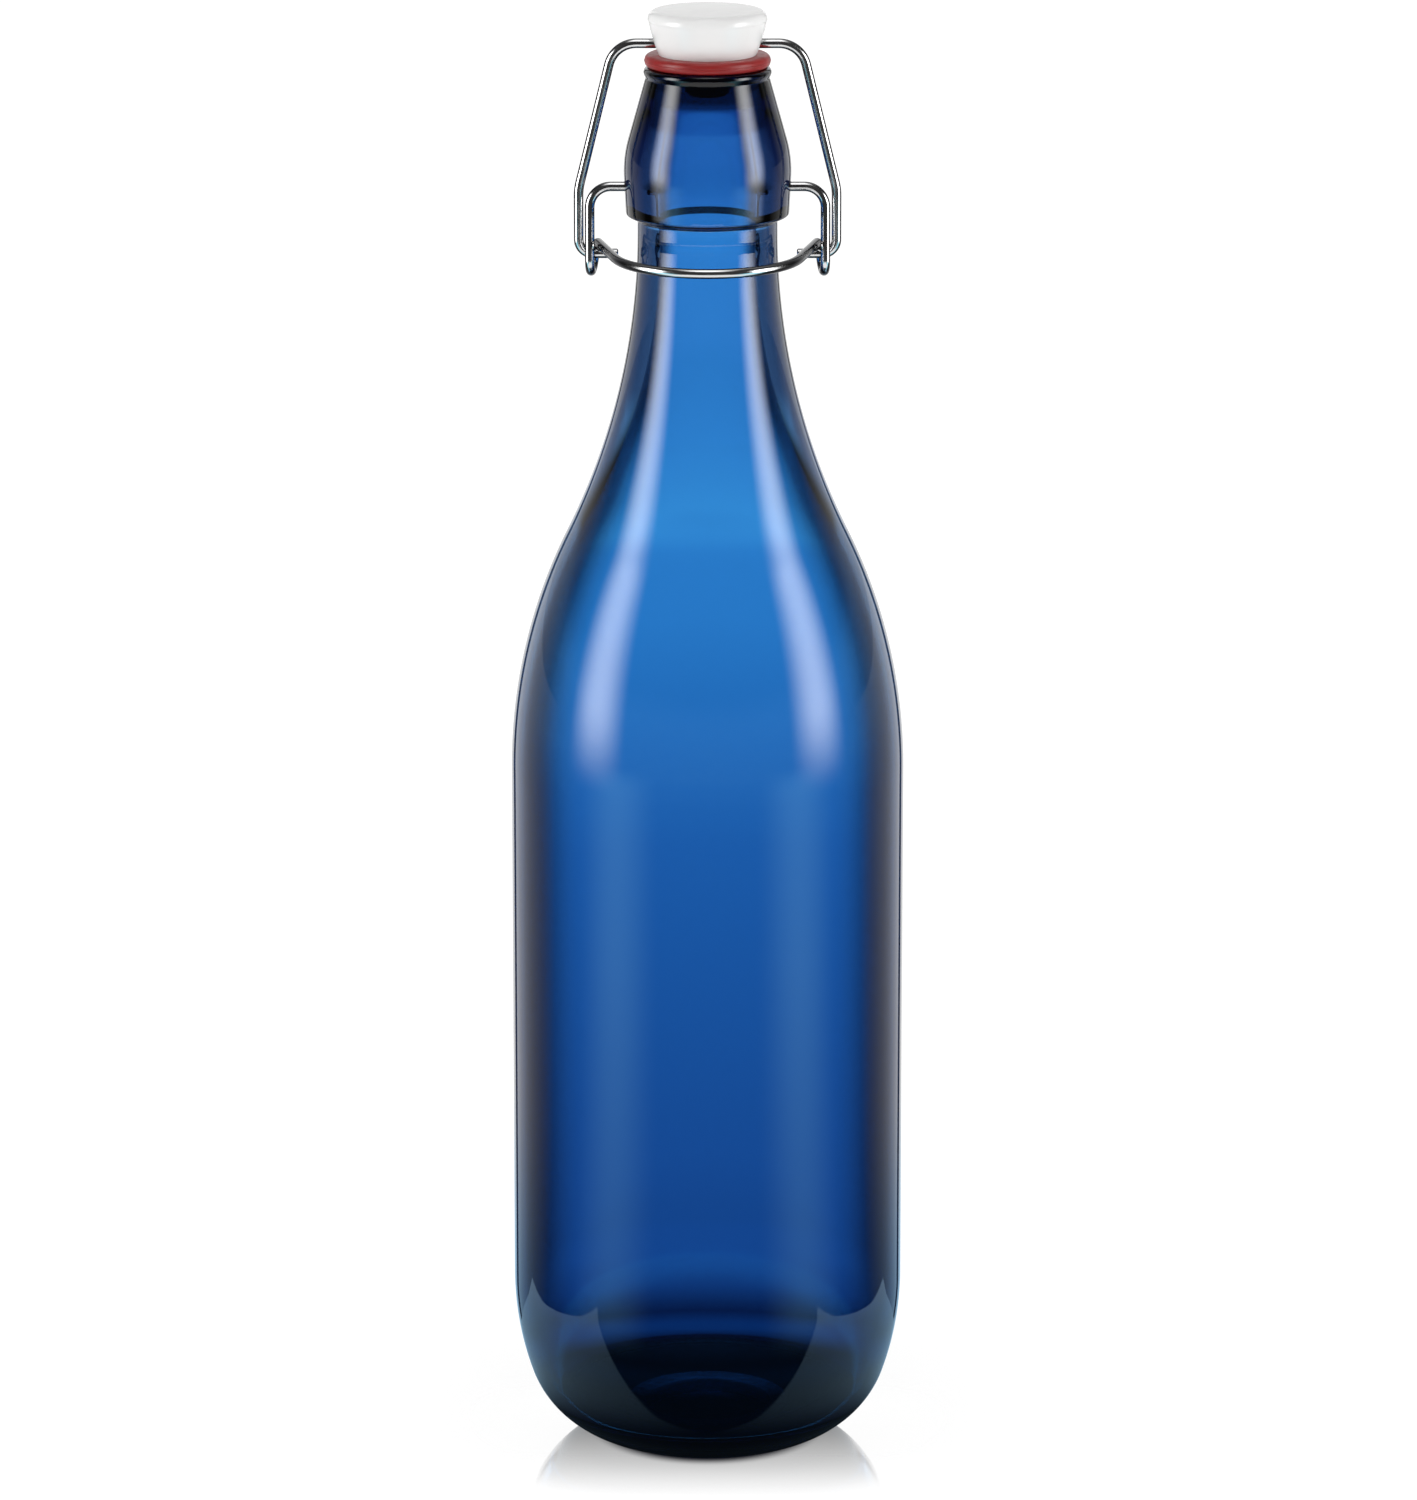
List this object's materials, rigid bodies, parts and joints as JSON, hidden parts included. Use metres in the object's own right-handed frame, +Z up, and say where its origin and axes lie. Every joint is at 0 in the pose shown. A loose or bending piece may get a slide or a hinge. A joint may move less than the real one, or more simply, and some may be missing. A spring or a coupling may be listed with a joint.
{
  "type": "swing top bottle",
  "caption": "Cobalt glass bottle with a long tapered neck, sealed by a white stopper and red gasket that a wire bail and over-centre lever pull onto the lip",
  "frame": {"origin": "On the surface it stands on, under the bottle's axis", "axes": "+Z up the bottle's axis, -Y towards the front where the lever's handle is, X along the lever's pivot"},
  "size_m": [0.086, 0.086, 0.3199],
  "materials": {
    "blue_glass": "clear cobalt blue blown glass, polished",
    "steel_wire": "bright drawn and plated steel wire",
    "white_stopper": "glossy white moulding",
    "red_rubber": "smooth red rubber"
  },
  "bodies": {
    "bottle": {"glass_bottle": "blue_glass"},
    "lever": {"lever_wire": "steel_wire"},
    "bail": {"bail_wire": "steel_wire"},
    "stopper": {"stopper": "white_stopper", "gasket": "red_rubber"}
  },
  "joints": [
    {"name": "lever_swing", "type": "hinge", "parent": "bottle", "child": "lever", "pos_m": [0, 0, 0.2814], "axis": [-1, 0, 0], "range_deg": [0, 165]},
    {"name": "bail_swing", "type": "hinge", "parent": "lever", "child": "bail", "pos_m": [0, 0.0007, 0.26666], "axis": [-1, 0, 0], "range_deg": [-113.85, 0]},
    {"name": "stopper_tilt", "type": "hinge", "parent": "bail", "child": "stopper", "pos_m": [0, 0, 0.3124], "axis": [-1, 0, 0], "range_deg": [-51.15, 0]}
  ],
  "couplings": [
    {"joint": "bail_swing", "follows": "lever_swing", "ratio": -0.69},
    {"joint": "stopper_tilt", "follows": "lever_swing", "ratio": -0.31}
  ]
}
